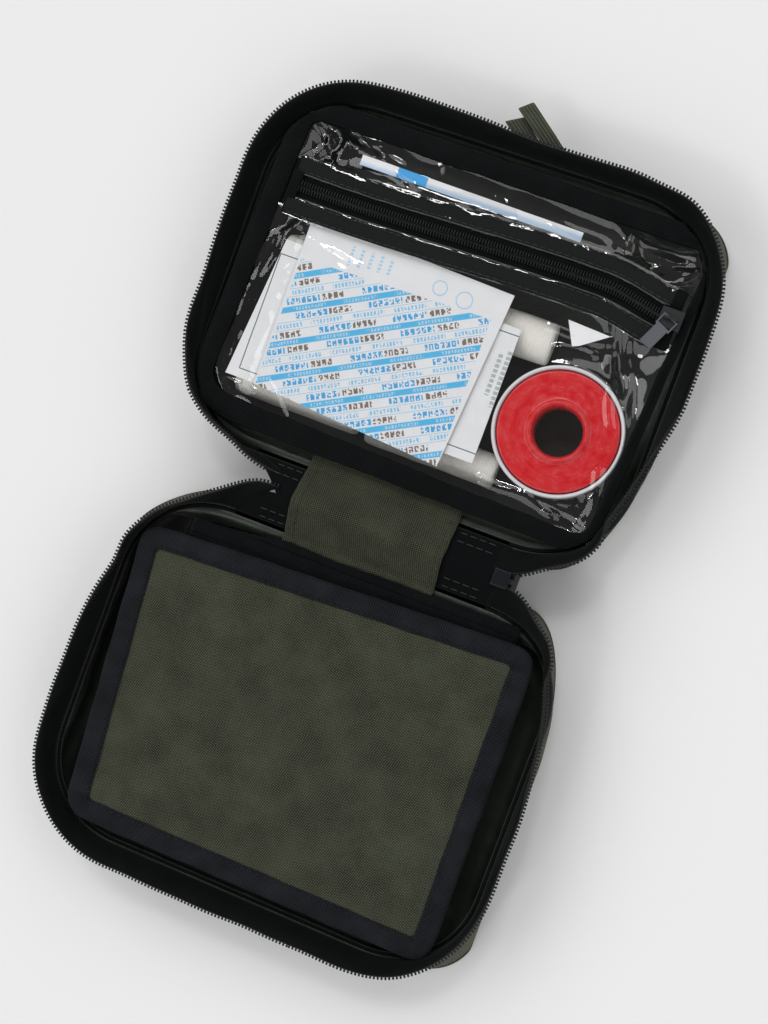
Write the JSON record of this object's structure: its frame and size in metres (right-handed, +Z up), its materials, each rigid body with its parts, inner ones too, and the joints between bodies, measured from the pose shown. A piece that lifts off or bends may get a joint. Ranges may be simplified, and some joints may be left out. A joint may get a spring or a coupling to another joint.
{
  "type": "first aid kit",
  "caption": "Soft zip-around first aid kit lying open: fabric base with a cover flap, lid with a clear zipped pocket of dressings and a tape reel, joined by a fabric spine.",
  "frame": {"origin": "middle of the open kit's footprint, hang loop included, at floor level; the fold line is at y = -6.5 mm", "axes": "+X along the fold, +Y from the base half to the lid half, +Z up"},
  "size_m": [0.204, 0.3526, 0.0318],
  "materials": {
    "base_panel": "plain woven polyester, olive",
    "base_wall": "plain woven polyester, olive",
    "base_lining": "coated lining, satin",
    "base_seam_binding": "black woven tape",
    "base_zip_tape": "black woven tape",
    "base_zip_teeth": "black nylon",
    "spine_strip": "black woven tape",
    "hinge_patch": "plain woven polyester, olive",
    "zip_end_tab": "dark grey tape",
    "cover_ledge": "black woven tape",
    "cover_loop_strip": "black woven tape",
    "cover_hinge_band": "black woven tape",
    "blanket_packet": "metallised film, shiny",
    "sling_packet": "matt paper",
    "bandage_roll_5": "gauze, matt",
    "bandage_roll_6": "gauze, matt",
    "hinge_patch_hem": "plain woven polyester, olive",
    "lid_panel": "plain woven polyester, olive",
    "lid_wall": "plain woven polyester, olive",
    "lid_lining": "coated lining, satin",
    "lid_seam_binding": "black woven tape",
    "lid_zip_tape": "black woven tape",
    "lid_zip_teeth": "black nylon",
    "pocket_frame": "black woven tape",
    "pocket_film_lower": "clear flexible film, glossy",
    "pocket_film_upper": "clear flexible film, glossy",
    "pocket_side_film": "clear flexible film, glossy",
    "pocket_zip_tape_upper": "black woven tape",
    "pocket_zip_tape_lower": "black woven tape",
    "pocket_zip_coil_upper": "black nylon",
    "pocket_zip_coil_lower": "black nylon",
    "plaster_sachet": "printed paper, satin",
    "dressing_packet": "matt paper",
    "gauze_stack": "gauze, matt",
    "slim_packet": "coated paper, satin",
    "paper_leaflet": "matt paper",
    "bandage_roll_1": "gauze, matt",
    "bandage_roll_2": "gauze, matt",
    "bandage_roll_3": "gauze, matt",
    "bandage_roll_4": "gauze, matt",
    "reel_guard": "glossy white plastic",
    "cover_panel": "plain woven polyester, olive",
    "cover_binding": "black woven tape",
    "cover_hook_strip": "black woven tape",
    "pocket_slider": "black paint",
    "pocket_puller": "dark grey paint",
    "reel_hub": "glossy red plastic",
    "reel_tape": "cotton plaster tape, matt",
    "hang_loop": "plain woven polyester, olive",
    "main_slider": "nickel plated",
    "main_puller": "nickel plated"
  },
  "bodies": {
    "base": {"base_panel": "base_panel", "base_wall": "base_wall", "base_lining": "base_lining", "base_seam_binding": "base_seam_binding", "base_zip_tape": "base_zip_tape", "base_zip_teeth": "base_zip_teeth", "spine_strip": "spine_strip", "hinge_patch": "hinge_patch", "zip_end_tab": "zip_end_tab", "cover_ledge": "cover_ledge", "cover_loop_strip": "cover_loop_strip", "cover_hinge_band": "cover_hinge_band", "blanket_packet": "blanket_packet", "sling_packet": "sling_packet", "bandage_roll_5": "bandage_roll_5", "bandage_roll_6": "bandage_roll_6"},
    "lid": {"hinge_patch_hem": "hinge_patch_hem", "lid_panel": "lid_panel", "lid_wall": "lid_wall", "lid_lining": "lid_lining", "lid_seam_binding": "lid_seam_binding", "lid_zip_tape": "lid_zip_tape", "lid_zip_teeth": "lid_zip_teeth", "pocket_frame": "pocket_frame", "pocket_film_lower": "pocket_film_lower", "pocket_film_upper": "pocket_film_upper", "pocket_side_film": "pocket_side_film", "pocket_zip_tape_upper": "pocket_zip_tape_upper", "pocket_zip_tape_lower": "pocket_zip_tape_lower", "pocket_zip_coil_upper": "pocket_zip_coil_upper", "pocket_zip_coil_lower": "pocket_zip_coil_lower", "plaster_sachet": "plaster_sachet", "dressing_packet": "dressing_packet", "gauze_stack": "gauze_stack", "slim_packet": "slim_packet", "paper_leaflet": "paper_leaflet", "bandage_roll_1": "bandage_roll_1", "bandage_roll_2": "bandage_roll_2", "bandage_roll_3": "bandage_roll_3", "bandage_roll_4": "bandage_roll_4", "reel_guard": "reel_guard"},
    "cover": {"cover_panel": "cover_panel", "cover_binding": "cover_binding", "cover_hook_strip": "cover_hook_strip"},
    "pocket_slider": {"pocket_slider": "pocket_slider"},
    "pocket_puller": {"pocket_puller": "pocket_puller"},
    "reel": {"reel_hub": "reel_hub", "reel_tape": "reel_tape"},
    "hang_loop": {"hang_loop": "hang_loop"},
    "main_slider": {"main_slider": "main_slider"},
    "main_puller": {"main_puller": "main_puller"}
  },
  "joints": [
    {"name": "lid_fold", "type": "hinge", "parent": "base", "child": "lid", "pos_m": [0, -0.0065, 0.032], "axis": [-1, 0, 0], "range_deg": [-180, 0]},
    {"name": "cover_flap", "type": "hinge", "parent": "base", "child": "cover", "pos_m": [0, -0.1621, 0.025], "axis": [1, 0, 0], "range_deg": [0, 80]},
    {"name": "pocket_zip", "type": "slide", "parent": "lid", "child": "pocket_slider", "axis": [0.9998, -0.0176, 0], "range_m": [-0.145, 0]},
    {"name": "pocket_puller_pivot", "type": "hinge", "parent": "pocket_slider", "child": "pocket_puller", "pos_m": [0.08353, 0.11084, 0.0302], "axis": [-0.9063, 0.4226, 0], "range_deg": [0, 150]},
    {"name": "reel_spin", "type": "hinge", "parent": "lid", "child": "reel", "pos_m": [0.0575, 0.0555, 0.0138], "axis": [0, 0, 1], "continuous": true},
    {"name": "hang_loop_swing", "type": "hinge", "parent": "lid", "child": "hang_loop", "pos_m": [0.0165, 0.1591, 0.015], "axis": [1, 0, 0], "range_deg": [-35, 40], "stiffness_Nm_per_rad": 0.01},
    {"name": "main_zip", "type": "slide", "parent": "base", "child": "main_slider", "axis": [1, 0, 0], "range_m": [0, 0.01]},
    {"name": "main_puller_pivot", "type": "hinge", "parent": "main_slider", "child": "main_puller", "pos_m": [0.059, -0.0065, 0.0243], "axis": [0, 1, 0], "range_deg": [-75, 75]}
  ]
}
